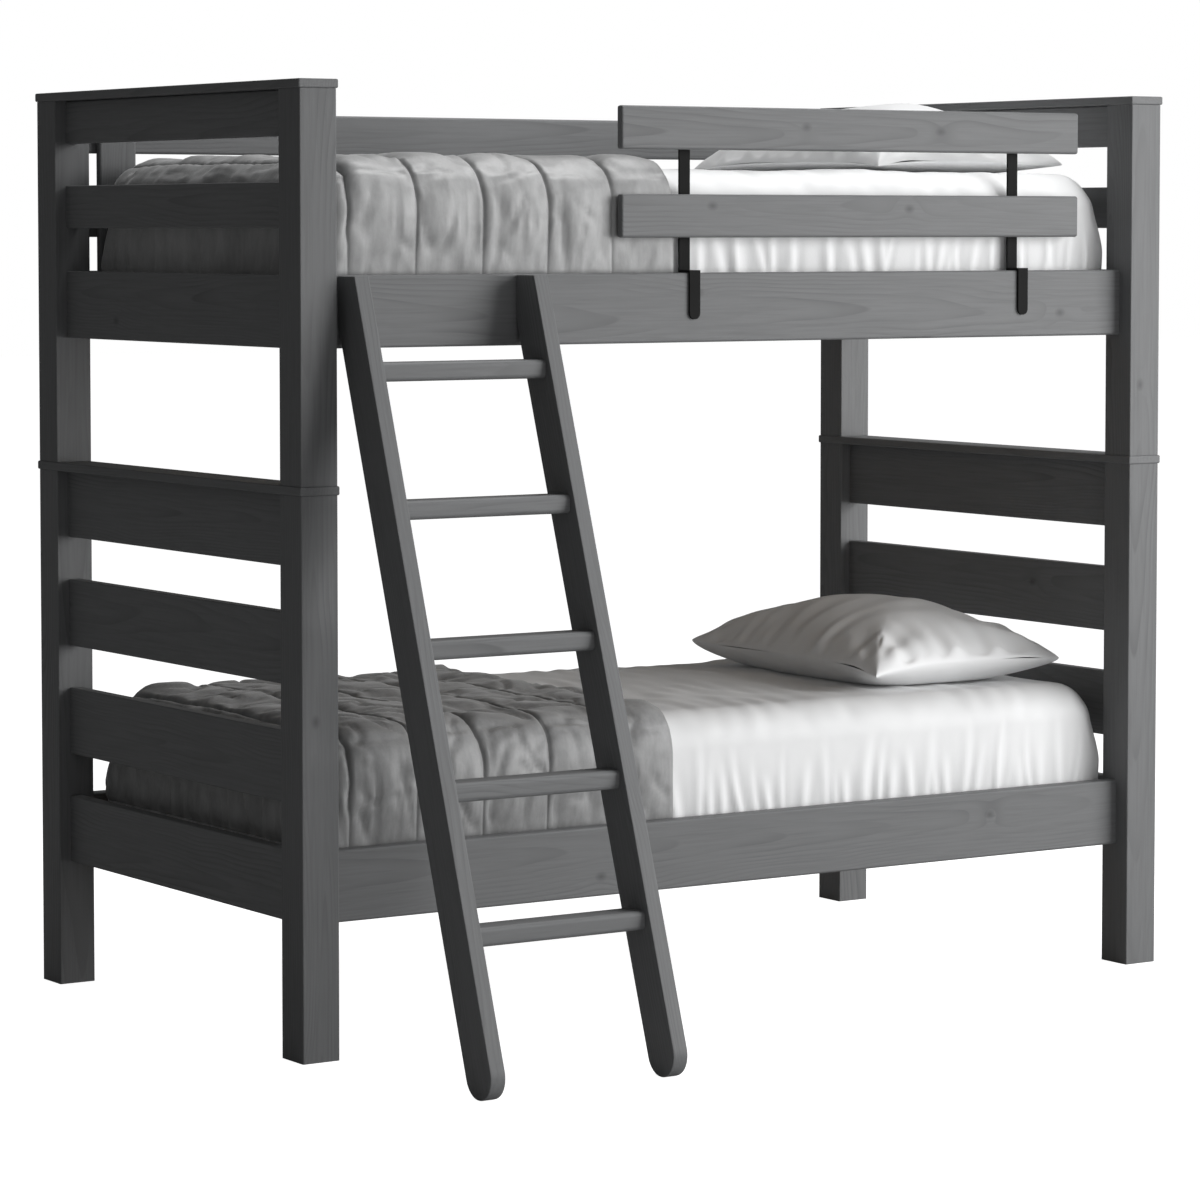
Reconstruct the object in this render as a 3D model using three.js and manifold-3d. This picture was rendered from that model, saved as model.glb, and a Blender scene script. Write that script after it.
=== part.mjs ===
// A twin-over-twin bunk bed: two stacking beds with slatted ends, a leaning ladder, a lift-off
// front guard rail, a fixed rear guard rail, and the bedding of both bunks.
// Millimetres, +Z up. X runs from the foot end to the head end, Y from the front to the rear.
// Lengths below are given from the front corner of the foot end; the whole bed is centred at the end.

import * as THREE from 'three';
import { mergeVertices } from 'three/addons/utils/BufferGeometryUtils.js';
import Module from 'manifold-3d';

const wasm = await Module();
wasm.setup();

// ---- driving dimensions -------------------------------------------------------------------

const FIT_GAP = 0.3; // between pieces that touch

const BED_LENGTH = 2083;
const BED_WIDTH = 1109;
const POST_LENGTH = 79; // along X
const POST_WIDTH = 82; // along Y
const POST_EDGE = 2.5;

const CAP_THICKNESS = 17.5;
const CAP_OVERHANG = 3;
const CAP_EDGE = 3;
const LOWER_POST_TOP = 1067.5;
const UPPER_POST_FOOT = LOWER_POST_TOP + CAP_THICKNESS;
const UPPER_POST_TOP = 1826.5;

const END_BOARD_THICKNESS = 28;
const END_BOARD_INSET = 25.5; // from the post's outer face
const END_BOARD_EDGE = 3.5;
const WIDE_BOARD = 137.5;
const NARROW_BOARD = 87;
const LOWER_BOARD_PITCH = 225;
const UPPER_NARROW_FEET = [1566.5, 1739.5];

const LOWER_RAIL_FOOT = 255;
const UPPER_RAIL_FOOT = 1341;
const RAIL_THICKNESS = 31.5;
const RAIL_SETBACK = 36; // from the post's outer face
const RAIL_EDGE = 5;

const SLAT_THICKNESS = 15;
const SLAT_WIDTH = 68;
const SLAT_COUNT = 14;
const SLAT_END_GAP = 2;
const FIRST_SLAT = 21; // from the post's inner face
const DECK_HEIGHT = 89.5; // slat top above the rail's lower edge
const LEDGER_DEPTH = 30;
const LEDGER_HEIGHT = 40;
const WEBBING_WIDTH = 30;
const WEBBING_THICKNESS = 2;
const WEBBING_INSET = 180; // from the slat's end

const PIN_RADIUS = 6;
const PIN_HOLE_RADIUS = 6.8;
const PIN_DEPTH = 45; // in the lower post, and again in the upper post
const PIN_CHAMFER = 2;
const PIN_HOLE_SPARE = 5;

const GUARD_THICKNESS = 20;
const GUARD_BOARD = 85.5;
const GUARD_FEET = [1548, 1721.5];
const REAR_GUARD_FEET = [1548, 1720.5];
const GUARD_EDGE = 5.5;
const GUARD_START = 748;
const GUARD_LENGTH = 1150;
const GUARD_SETBACK = 47;
const UPRIGHT_WIDTH = 85;
const UPRIGHT_THICKNESS = 19;
const UPRIGHT_INSET = 21; // from the post's inner face
const UPRIGHT_CLEARANCE = 3; // above the slats

const BRACKET_STARTS = [897.5, 1726];
const BRACKET_WIDTH = 25;
const BRACKET_THICKNESS = 4.8;
const BRACKET_TOP_MARGIN = 16; // below the upper guard board's top
const BRACKET_TAB_LENGTH = 92; // down the rail's outer face
const BRACKET_LEG_LENGTH = 42; // down the rail's inner face
const BRACKET_CLEARANCE = 0.4; // behind the guard boards, more than the usual gap
const JOIN_OVERLAP = 1; // how far shapes that become one solid run into each other

const LADDER_SLOPE = 0.3364; // run over rise
const LADDER_START = 100;
const LADDER_CLEAR_WIDTH = 363.5;
const STRINGER_THICKNESS = 32;
const STRINGER_WIDTH = 88;
const STRINGER_TOP = 1477;
const STRINGER_EDGE = 2.5;
const STRINGER_FOOT_CENTRE = -462.6; // Y of the round foot's centre
const RUNG_COUNT = 5;
const FIRST_RUNG = 284.5;
const RUNG_PITCH = 253.5;
const RUNG_DEPTH = 60;
const RUNG_HEIGHT = 36;
const RUNG_EDGE = 9;
const RUNG_EDGE_STEPS = 5;

const BOLT_RADIUS = 4;
const BOLT_HOLE_RADIUS = 4.6;
const BOLT_HEAD_RADIUS = 8;
const BOLT_HEAD_THICKNESS = 4.5;
const BOLT_REACH = 38; // into the stringer
const BOLT_HOLE_EXCESS = 2; // past the bolt's end
const BOLT_BELOW_RAIL_TOP = 26.5;

const MATTRESS_START = 94;
const MATTRESS_LENGTH = 1905;
const MATTRESS_FRONT = 78;
const MATTRESS_WIDTH = 933;
const MATTRESS_HEIGHT = 252;
const MATTRESS_EDGE = 60;
const MATTRESS_CORNER = 28;
const BEDDING_GAP = 0.5;

const COMFORTER_SIDE = 8.5; // thickness at the sides and the foot end
const COMFORTER_TOP = 24;
const COMFORTER_GAP = 1; // to the mattress
const COMFORTER_TUCK = 8; // below the rail's top
const COMFORTER_HEM = 889; // how far it reaches along the bed

const PILLOW_LENGTH = 680; // across the bed
const PILLOW_WIDTH = 490;
const PILLOW_RISE = { lower: 172, upper: 156 };
const PILLOW_SEAM_HEIGHT = 46;
const PILLOW_UNDERSIDE_SPREAD = 1.6; // how soon the underside comes down from the seam
const PILLOW_CENTRE = [1713, 514];

// ---- materials ------------------------------------------------------------------------------

const material = (color, roughness, metalness = 0) => () =>
  new THREE.MeshStandardMaterial({ color, roughness, metalness });

const stainedPine = material('#55585b', 0.5);
const slatWood = material('#c9ac80', 0.7);
const blackSteel = material('#1c1d1e', 0.45, 0.6);
const zincSteel = material('#b4b7ba', 0.35, 0.9);
const cottonSheet = material('#eeeef0', 0.85);
const quiltedFabric = material('#8f9092', 0.7);
const pillowFabric = material('#e4e4e6', 0.55);

// ---- shape helpers --------------------------------------------------------------------------

const X = new THREE.Vector3(1, 0, 0);
const Y = new THREE.Vector3(0, 1, 0);
const Z = new THREE.Vector3(0, 0, 1);
const ALONG = {
  x: new THREE.Matrix4().makeBasis(Y, Z, X),
  y: new THREE.Matrix4().makeBasis(Z, X, Y),
  z: new THREE.Matrix4(),
};

function roundedRectangle(width, height, radius) {
  const shape = new THREE.Shape();
  const quarter = Math.PI / 2;
  shape.absarc(width - radius, radius, radius, -quarter, 0);
  shape.absarc(width - radius, height - radius, radius, 0, quarter);
  shape.absarc(radius, height - radius, radius, quarter, 2 * quarter);
  shape.absarc(radius, radius, radius, 2 * quarter, 3 * quarter);
  return shape;
}

// A bar of rounded section: `a` by `b` across, `length` along the named axis, lowest corner at 0.
// The section's first side lies along the axis that follows the bar's own, in x, y, z order.
function bar(axis, length, a, b, edge, steps = 3) {
  const geometry = new THREE.ExtrudeGeometry(roundedRectangle(a, b, edge), {
    depth: length,
    bevelEnabled: false,
    curveSegments: steps,
  });
  return geometry.applyMatrix4(ALONG[axis]);
}

// The same bar with its ends' arrises taken off too, a little less than the long ones.
function easedBar(axis, length, a, b, edge) {
  const endEdge = 0.8 * edge;
  const geometry = new THREE.ExtrudeGeometry(roundedRectangle(a, b, edge), {
    depth: length - 2 * endEdge,
    bevelThickness: endEdge,
    bevelSize: endEdge,
    bevelOffset: -endEdge,
    bevelSegments: 2,
    curveSegments: 3,
  });
  return geometry.translate(0, 0, endEdge).applyMatrix4(ALONG[axis]);
}

function box(x0, y0, z0, x1, y1, z1) {
  const geometry = new THREE.BoxGeometry(x1 - x0, y1 - y0, z1 - z0);
  return geometry.translate((x0 + x1) / 2, (y0 + y1) / 2, (z0 + z1) / 2);
}

// A solid of revolution about Z, from its half outline as [radius, height] pairs.
function turned(outline, segments = 16) {
  const points = outline.map(([radius, height]) => new THREE.Vector2(radius, height));
  return new THREE.LatheGeometry(points, segments).rotateX(Math.PI / 2);
}

function drill(radius, length) {
  return turned([[0, 0], [radius, 0], [radius, length], [0, length]]);
}

function toSolid(geometry) {
  const bare = geometry.clone();
  bare.deleteAttribute('normal');
  bare.deleteAttribute('uv');
  const merged = mergeVertices(bare, 1e-4);
  return new wasm.Manifold(new wasm.Mesh({
    numProp: 3,
    vertProperties: new Float32Array(merged.attributes.position.array),
    triVerts: new Uint32Array(merged.index.array),
  }));
}

function toGeometry(solid) {
  const mesh = solid.getMesh();
  const geometry = new THREE.BufferGeometry();
  geometry.setAttribute('position', new THREE.BufferAttribute(mesh.vertProperties, 3));
  geometry.setIndex(new THREE.BufferAttribute(mesh.triVerts, 1));
  geometry.computeVertexNormals();
  return geometry;
}

function joined(...geometries) {
  return toGeometry(geometries.map(toSolid).reduce((whole, piece) => whole.add(piece)));
}

function cut(geometry, ...tools) {
  return toGeometry(tools.map(toSolid).reduce((rest, tool) => rest.subtract(tool), toSolid(geometry)));
}

function common(geometry, other) {
  return toGeometry(toSolid(geometry).intersect(toSolid(other)));
}

function node(name, geometry, finish, x = 0, y = 0, z = 0) {
  const mesh = new THREE.Mesh(geometry, finish());
  mesh.name = name;
  mesh.position.set(x, y, z);
  return mesh;
}

// ---- places that several pieces share ---------------------------------------------------------

const ENDS = {
  foot: { postStart: 0, boardStart: END_BOARD_INSET },
  head: {
    postStart: BED_LENGTH - POST_LENGTH,
    boardStart: BED_LENGTH - END_BOARD_INSET - END_BOARD_THICKNESS,
  },
};
const POST_SIDES = { front: 0, rear: BED_WIDTH - POST_WIDTH };
const RAIL_START = POST_LENGTH + FIT_GAP;
const RAIL_LENGTH = BED_LENGTH - 2 * RAIL_START;
const RAIL_INNER_FACE = RAIL_SETBACK + RAIL_THICKNESS;
const UPPER_RAIL_TOP = UPPER_RAIL_FOOT + WIDE_BOARD;
const BOLT_HEIGHT = UPPER_RAIL_TOP - BOLT_BELOW_RAIL_TOP;
const STRINGER_STARTS = {
  left: LADDER_START,
  right: LADDER_START + STRINGER_THICKNESS + LADDER_CLEAR_WIDTH,
};

// ---- end frames -------------------------------------------------------------------------------

function lowerPost() {
  const post = bar('z', LOWER_POST_TOP, POST_LENGTH, POST_WIDTH, POST_EDGE);
  const hole = drill(PIN_HOLE_RADIUS, PIN_DEPTH + PIN_HOLE_SPARE);
  return cut(post, hole.translate(POST_LENGTH / 2, POST_WIDTH / 2, LOWER_POST_TOP - PIN_DEPTH));
}

function upperPost() {
  const height = UPPER_POST_TOP - UPPER_POST_FOOT - FIT_GAP;
  const post = bar('z', height, POST_LENGTH, POST_WIDTH, POST_EDGE);
  const hole = drill(PIN_HOLE_RADIUS, PIN_DEPTH + 2 * PIN_HOLE_SPARE);
  return cut(post, hole.translate(POST_LENGTH / 2, POST_WIDTH / 2, -PIN_HOLE_SPARE));
}

function cap() {
  const thickness = CAP_THICKNESS - FIT_GAP;
  const width = POST_LENGTH + 2 * CAP_OVERHANG;
  return easedBar('y', BED_WIDTH + 2 * CAP_OVERHANG, thickness, width, CAP_EDGE);
}

function drilledCap() {
  const holes = Object.values(POST_SIDES).map((side) =>
    drill(PIN_HOLE_RADIUS, 2 * CAP_THICKNESS).translate(
      CAP_OVERHANG + POST_LENGTH / 2,
      CAP_OVERHANG + side + POST_WIDTH / 2,
      -CAP_THICKNESS / 2,
    ));
  return cut(cap(), ...holes);
}

function endBoard(height) {
  const length = BED_WIDTH - 2 * (POST_WIDTH + FIT_GAP);
  return bar('y', length, height, END_BOARD_THICKNESS, END_BOARD_EDGE);
}

// One end of one bed: two posts, their cap, and the boards between them.
function endFrame(bed, end, postShape, postFoot, capShape, capFoot, boards) {
  const { postStart, boardStart } = ENDS[end];
  const frame = new THREE.Group();
  for (const [side, y] of Object.entries(POST_SIDES)) {
    frame.add(node(`${bed}_post_${side}_${end}`, postShape(), stainedPine, postStart, y, postFoot));
  }
  frame.add(node(`${bed}_cap_${end}`, capShape(), stainedPine,
    postStart - CAP_OVERHANG, -CAP_OVERHANG, capFoot + FIT_GAP));
  boards.forEach(([foot, height], index) => {
    frame.add(node(`${bed}_${end}_board_${index + 1}`, endBoard(height), stainedPine,
      boardStart, POST_WIDTH + FIT_GAP, foot));
  });
  return frame;
}

const LOWER_BOARDS = [0, 1, 2, 3].map((step) => [LOWER_RAIL_FOOT + step * LOWER_BOARD_PITCH, WIDE_BOARD]);
const UPPER_BOARDS = [
  [UPPER_RAIL_FOOT, WIDE_BOARD],
  ...UPPER_NARROW_FEET.map((foot) => [foot, NARROW_BOARD]),
];

function stackingPin() {
  const length = 2 * PIN_DEPTH;
  return turned([
    [0, 0],
    [PIN_RADIUS - PIN_CHAMFER, 0],
    [PIN_RADIUS, PIN_CHAMFER],
    [PIN_RADIUS, length - PIN_CHAMFER],
    [PIN_RADIUS - PIN_CHAMFER, length],
    [0, length],
  ]);
}

// ---- side rails and slats ---------------------------------------------------------------------

// A front rail with its ledger strip glued to the inner face; the rear rail is the same, turned round.
function railWithLedger() {
  const rail = bar('x', RAIL_LENGTH, RAIL_THICKNESS, WIDE_BOARD, RAIL_EDGE);
  const ledgerTop = DECK_HEIGHT - SLAT_THICKNESS - FIT_GAP;
  const ledger = box(0, RAIL_THICKNESS - 1, ledgerTop - LEDGER_HEIGHT,
    RAIL_LENGTH, RAIL_THICKNESS + LEDGER_DEPTH, ledgerTop);
  return joined(rail, ledger);
}

function boltHole(stringerStart) {
  const hole = drill(BOLT_HOLE_RADIUS, 2 * RAIL_THICKNESS).rotateX(-Math.PI / 2);
  const x = stringerStart + STRINGER_THICKNESS / 2 - RAIL_START;
  return hole.translate(x, -RAIL_THICKNESS / 2, WIDE_BOARD - BOLT_BELOW_RAIL_TOP);
}

function rails(bed, foot, frontShape) {
  const pair = new THREE.Group();
  pair.add(node(`${bed}_rail_front`, frontShape, stainedPine, RAIL_START, RAIL_SETBACK, foot));
  const rear = node(`${bed}_rail_rear`, railWithLedger(), stainedPine,
    RAIL_START + RAIL_LENGTH, BED_WIDTH - RAIL_SETBACK, foot);
  rear.rotation.z = Math.PI;
  pair.add(rear);
  return pair;
}

// Slats held at their spacing by two bands of webbing, so that they unroll as one piece.
function slatRoll() {
  const slatLength = BED_WIDTH - 2 * (RAIL_INNER_FACE + SLAT_END_GAP);
  const span = RAIL_LENGTH - 2 * FIRST_SLAT;
  const pitch = (span - SLAT_WIDTH) / (SLAT_COUNT - 1);
  const pieces = [];
  for (let index = 0; index < SLAT_COUNT; index += 1) {
    const start = index * pitch;
    pieces.push(box(start, 0, 0, start + SLAT_WIDTH, slatLength, SLAT_THICKNESS));
  }
  for (const y of [WEBBING_INSET, slatLength - WEBBING_INSET - WEBBING_WIDTH]) {
    pieces.push(box(SLAT_WIDTH / 2, y, -WEBBING_THICKNESS,
      span - SLAT_WIDTH / 2, y + WEBBING_WIDTH, WEBBING_THICKNESS / 4));
  }
  return joined(...pieces);
}

function slats(bed, railFoot) {
  return node(`${bed}_slat_roll`, slatRoll(), slatWood,
    RAIL_START + FIRST_SLAT, RAIL_INNER_FACE + SLAT_END_GAP, railFoot + DECK_HEIGHT - SLAT_THICKNESS);
}

// ---- guard rails ------------------------------------------------------------------------------

function rearGuard() {
  const guard = new THREE.Group();
  const boardFront = BED_WIDTH - RAIL_INNER_FACE;
  REAR_GUARD_FEET.forEach((foot, index) => {
    const board = bar('x', RAIL_LENGTH, GUARD_THICKNESS, GUARD_BOARD, GUARD_EDGE);
    guard.add(node(`rear_guard_board_${index + 1}`, board, stainedPine, RAIL_START, boardFront, foot));
  });
  const bottom = UPPER_RAIL_FOOT + DECK_HEIGHT + UPRIGHT_CLEARANCE;
  const top = REAR_GUARD_FEET[1] + GUARD_BOARD - GUARD_EDGE;
  const start = POST_LENGTH + UPRIGHT_INSET;
  for (const [end, x] of [['foot', start], ['head', BED_LENGTH - start - UPRIGHT_WIDTH]]) {
    const upright = easedBar('z', top - bottom, UPRIGHT_WIDTH, UPRIGHT_THICKNESS, GUARD_EDGE);
    guard.add(node(`rear_guard_upright_${end}`, upright, stainedPine,
      x, boardFront - FIT_GAP - UPRIGHT_THICKNESS, bottom));
  }
  return guard;
}

// A flat steel hanger: an upright behind the boards, a bridge over the rail, and a leg down
// each face of the rail, the outer one with a round end.
function guardBracket() {
  const back = GUARD_SETBACK + GUARD_THICKNESS + FIT_GAP + BRACKET_CLEARANCE;
  const bridge = UPPER_RAIL_TOP + FIT_GAP;
  const top = GUARD_FEET[1] + GUARD_BOARD - BRACKET_TOP_MARGIN;
  const tabFront = RAIL_SETBACK - FIT_GAP - BRACKET_THICKNESS;
  const upright = box(0, back, UPPER_RAIL_TOP - BRACKET_LEG_LENGTH,
    BRACKET_WIDTH, back + BRACKET_THICKNESS, top);
  const across = box(0, tabFront, bridge, BRACKET_WIDTH, back + JOIN_OVERLAP,
    bridge + BRACKET_THICKNESS);
  const radius = BRACKET_WIDTH / 2;
  const outline = new THREE.Shape();
  outline.moveTo(BRACKET_WIDTH, bridge + JOIN_OVERLAP);
  outline.lineTo(0, bridge + JOIN_OVERLAP);
  outline.absarc(radius, UPPER_RAIL_TOP - BRACKET_TAB_LENGTH + radius, radius, Math.PI, 2 * Math.PI);
  const tab = new THREE.ExtrudeGeometry(outline, {
    depth: BRACKET_THICKNESS,
    bevelEnabled: false,
    curveSegments: 16,
  });
  tab.rotateX(Math.PI / 2).translate(0, tabFront + BRACKET_THICKNESS, 0);
  return joined(upright, across, tab);
}

function frontGuard() {
  const guard = new THREE.Group();
  GUARD_FEET.forEach((foot, index) => {
    const board = easedBar('x', GUARD_LENGTH, GUARD_THICKNESS, GUARD_BOARD, GUARD_EDGE);
    guard.add(node(`guard_board_${index + 1}`, board, stainedPine, GUARD_START, GUARD_SETBACK, foot));
  });
  BRACKET_STARTS.forEach((x, index) => {
    guard.add(node(`guard_bracket_${index + 1}`, guardBracket(), blackSteel, x, 0, 0));
  });
  return guard;
}

// ---- ladder -----------------------------------------------------------------------------------

// Y of the ladder's centre line at a height.
const ladderCentre = (height) =>
  STRINGER_FOOT_CENTRE + LADDER_SLOPE * (height - STRINGER_WIDTH / 2);

// The side view, with the drawing's x along Y and its y along Z.
function stringerOutline() {
  const lean = Math.atan(LADDER_SLOPE);
  const halfRun = STRINGER_WIDTH / 2 / Math.cos(lean);
  const radius = STRINGER_WIDTH / 2;
  const railFace = RAIL_SETBACK - FIT_GAP;
  const plumbFoot = radius + (railFace - halfRun - STRINGER_FOOT_CENTRE) / LADDER_SLOPE;
  const outline = new THREE.Shape();
  outline.moveTo(railFace, STRINGER_TOP);
  outline.lineTo(ladderCentre(STRINGER_TOP) - halfRun, STRINGER_TOP);
  outline.absarc(STRINGER_FOOT_CENTRE, radius, radius, Math.PI - lean, 2 * Math.PI - lean);
  outline.lineTo(railFace, plumbFoot);
  return outline;
}

function stringer() {
  const geometry = new THREE.ExtrudeGeometry(stringerOutline(), {
    depth: STRINGER_THICKNESS - 2 * STRINGER_EDGE,
    bevelThickness: STRINGER_EDGE,
    bevelSize: STRINGER_EDGE,
    bevelOffset: -STRINGER_EDGE,
    bevelSegments: 2,
    curveSegments: 16,
  });
  geometry.translate(0, 0, STRINGER_EDGE).applyMatrix4(ALONG.x);
  const hole = drill(BOLT_HOLE_RADIUS, 2 * BOLT_REACH).rotateX(-Math.PI / 2);
  const holeEnd = RAIL_SETBACK - BOLT_REACH - BOLT_HOLE_EXCESS;
  return cut(geometry, hole.translate(STRINGER_THICKNESS / 2, holeEnd, BOLT_HEIGHT));
}

function ladderBolt() {
  const shank = RAIL_THICKNESS + BOLT_REACH + FIT_GAP;
  const dome = BOLT_HEAD_THICKNESS / 2;
  const bolt = turned([
    [0, 0],
    [BOLT_RADIUS, 0],
    [BOLT_RADIUS, shank],
    [BOLT_HEAD_RADIUS, shank],
    [BOLT_HEAD_RADIUS, shank + dome],
    [BOLT_HEAD_RADIUS - dome, shank + BOLT_HEAD_THICKNESS],
    [0, shank + BOLT_HEAD_THICKNESS],
  ]);
  return bolt.rotateX(-Math.PI / 2);
}

function ladder() {
  const assembly = new THREE.Group();
  for (const [side, x] of Object.entries(STRINGER_STARTS)) {
    assembly.add(node(`ladder_stringer_${side}`, stringer(), stainedPine, x, 0, 0));
    assembly.add(node(`ladder_bolt_${side}`, ladderBolt(), zincSteel,
      x + STRINGER_THICKNESS / 2, RAIL_SETBACK - BOLT_REACH, BOLT_HEIGHT));
  }
  const rungLength = LADDER_CLEAR_WIDTH - 2 * FIT_GAP;
  for (let index = 0; index < RUNG_COUNT; index += 1) {
    const centre = FIRST_RUNG + index * RUNG_PITCH;
    const rung = bar('x', rungLength, RUNG_DEPTH, RUNG_HEIGHT, RUNG_EDGE, RUNG_EDGE_STEPS);
    assembly.add(node(`ladder_rung_${index + 1}`, rung, stainedPine,
      LADDER_START + STRINGER_THICKNESS + FIT_GAP,
      ladderCentre(centre) - RUNG_DEPTH / 2, centre - RUNG_HEIGHT / 2));
  }
  return assembly;
}

// ---- bedding ----------------------------------------------------------------------------------

// A block with rounded top edges, running along X, on a section in the Y-Z plane.
function crownedBlock(length, width, height, edge) {
  const quarter = Math.PI / 2;
  const shape = new THREE.Shape();
  shape.moveTo(0, 0);
  shape.lineTo(width, 0);
  shape.absarc(width - edge, height - edge, edge, 0, quarter);
  shape.absarc(edge, height - edge, edge, quarter, 2 * quarter);
  const block = new THREE.ExtrudeGeometry(shape, { depth: length, bevelEnabled: false, curveSegments: 5 });
  return block.applyMatrix4(ALONG.x);
}

// The same rounding seen from the bed's side and from above, so that every top edge is soft.
function softBlock(length, width, height, edge, corner) {
  const across = crownedBlock(length, width, height, edge);
  const along = crownedBlock(width, length, height, edge)
    .rotateZ(Math.PI / 2).translate(length, 0, 0);
  const plan = bar('z', height, length, width, corner, 4);
  return common(common(across, along), plan);
}

function mattress() {
  return softBlock(MATTRESS_LENGTH, MATTRESS_WIDTH, MATTRESS_HEIGHT, MATTRESS_EDGE, MATTRESS_CORNER);
}

// A lid over the foot end of the mattress, open below and towards the pillows.
function comforter(skirt) {
  const outer = COMFORTER_SIDE + COMFORTER_GAP;
  const width = MATTRESS_WIDTH + 2 * outer;
  const height = skirt + COMFORTER_GAP + COMFORTER_TOP;
  const start = MATTRESS_START - outer;
  const kept = COMFORTER_HEM - start;
  const length = kept + 2 * MATTRESS_EDGE;
  const shell = softBlock(length, width, height, MATTRESS_EDGE + outer, MATTRESS_CORNER + outer);
  const innerWidth = MATTRESS_WIDTH + 2 * COMFORTER_GAP;
  const inner = softBlock(length, innerWidth, height, MATTRESS_EDGE, MATTRESS_CORNER)
    .translate(COMFORTER_SIDE, COMFORTER_SIDE, -COMFORTER_TOP);
  return common(cut(shell, inner), box(-1, -1, -1, kept, width + 1, height + 1));
}

// A pillow with a flat underside where it lies, and a knife edge all round.
function pillow(rise) {
  const steps = 12;
  const positions = [];
  const indices = [];
  const puff = (u, v) => Math.sqrt(Math.max(0, (1 - u ** 4) * (1 - v ** 4)));
  const ring = (u, v) => Math.min(1, PILLOW_UNDERSIDE_SPREAD * puff(u, v));
  const addPoint = (u, v, height) => {
    positions.push(u * PILLOW_WIDTH / 2, v * PILLOW_LENGTH / 2, height);
    return positions.length / 3 - 1;
  };
  const surface = (height) => {
    const rows = [];
    for (let row = 0; row <= steps; row += 1) {
      const v = -1 + 2 * row / steps;
      rows.push(Array.from({ length: steps + 1 }, (_, column) => {
        const u = -1 + 2 * column / steps;
        return addPoint(u, v, height(u, v));
      }));
    }
    return rows;
  };
  const top = surface((u, v) => PILLOW_SEAM_HEIGHT + (rise - PILLOW_SEAM_HEIGHT) * puff(u, v));
  const bottom = surface((u, v) => PILLOW_SEAM_HEIGHT * (1 - ring(u, v)));
  for (let row = 0; row < steps; row += 1) {
    for (let column = 0; column < steps; column += 1) {
      const quad = (grid) => [
        grid[row][column], grid[row][column + 1], grid[row + 1][column + 1], grid[row + 1][column],
      ];
      const [a, b, c, d] = quad(top);
      indices.push(a, b, c, a, c, d);
      const [e, f, g, h] = quad(bottom);
      indices.push(e, g, f, e, h, g);
    }
  }
  const geometry = new THREE.BufferGeometry();
  geometry.setAttribute('position', new THREE.Float32BufferAttribute(positions, 3));
  geometry.setIndex(indices);
  return mergeVertices(geometry, 1e-3);
}

function bedding(bed, railFoot) {
  const set = new THREE.Group();
  const base = railFoot + DECK_HEIGHT + BEDDING_GAP;
  const skirtFoot = railFoot + WIDE_BOARD - COMFORTER_TUCK;
  const outer = COMFORTER_SIDE + COMFORTER_GAP;
  set.add(node(`${bed}_mattress`, mattress(), cottonSheet, MATTRESS_START, MATTRESS_FRONT, base));
  set.add(node(`${bed}_comforter`, comforter(base + MATTRESS_HEIGHT - skirtFoot), quiltedFabric,
    MATTRESS_START - outer, MATTRESS_FRONT - outer, skirtFoot));
  set.add(node(`${bed}_pillow`, pillow(PILLOW_RISE[bed]), pillowFabric,
    ...PILLOW_CENTRE, base + MATTRESS_HEIGHT + BEDDING_GAP));
  return set;
}

// ---- assembly ---------------------------------------------------------------------------------

function lowerBed() {
  const bed = new THREE.Group();
  for (const end of Object.keys(ENDS)) {
    bed.add(endFrame('lower', end, lowerPost, 0, drilledCap, LOWER_POST_TOP, LOWER_BOARDS));
    for (const [side, y] of Object.entries(POST_SIDES)) {
      bed.add(node(`stacking_pin_${side}_${end}`, stackingPin(), zincSteel,
        ENDS[end].postStart + POST_LENGTH / 2, y + POST_WIDTH / 2, LOWER_POST_TOP - PIN_DEPTH + 1));
    }
  }
  bed.add(rails('lower', LOWER_RAIL_FOOT, railWithLedger()));
  bed.add(slats('lower', LOWER_RAIL_FOOT));
  return bed;
}

function upperBed() {
  const bed = new THREE.Group();
  const postFoot = UPPER_POST_FOOT + FIT_GAP;
  for (const end of Object.keys(ENDS)) {
    bed.add(endFrame('upper', end, upperPost, postFoot, cap, UPPER_POST_TOP, UPPER_BOARDS));
  }
  const drilledRail = cut(railWithLedger(), ...Object.values(STRINGER_STARTS).map(boltHole));
  bed.add(rails('upper', UPPER_RAIL_FOOT, drilledRail));
  bed.add(slats('upper', UPPER_RAIL_FOOT));
  return bed;
}

const bunkBed = new THREE.Group();
bunkBed.add(
  lowerBed(),
  upperBed(),
  rearGuard(),
  frontGuard(),
  ladder(),
  bedding('lower', LOWER_RAIL_FOOT),
  bedding('upper', UPPER_RAIL_FOOT),
);

const bounds = new THREE.Box3().setFromObject(bunkBed);
const centre = bounds.getCenter(new THREE.Vector3());
bunkBed.position.set(-centre.x, -centre.y, -bounds.min.z);

export default bunkBed;
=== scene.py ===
"""The looks of a bunk bed with ladder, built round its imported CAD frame. Metres, +Z up."""

import math

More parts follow.
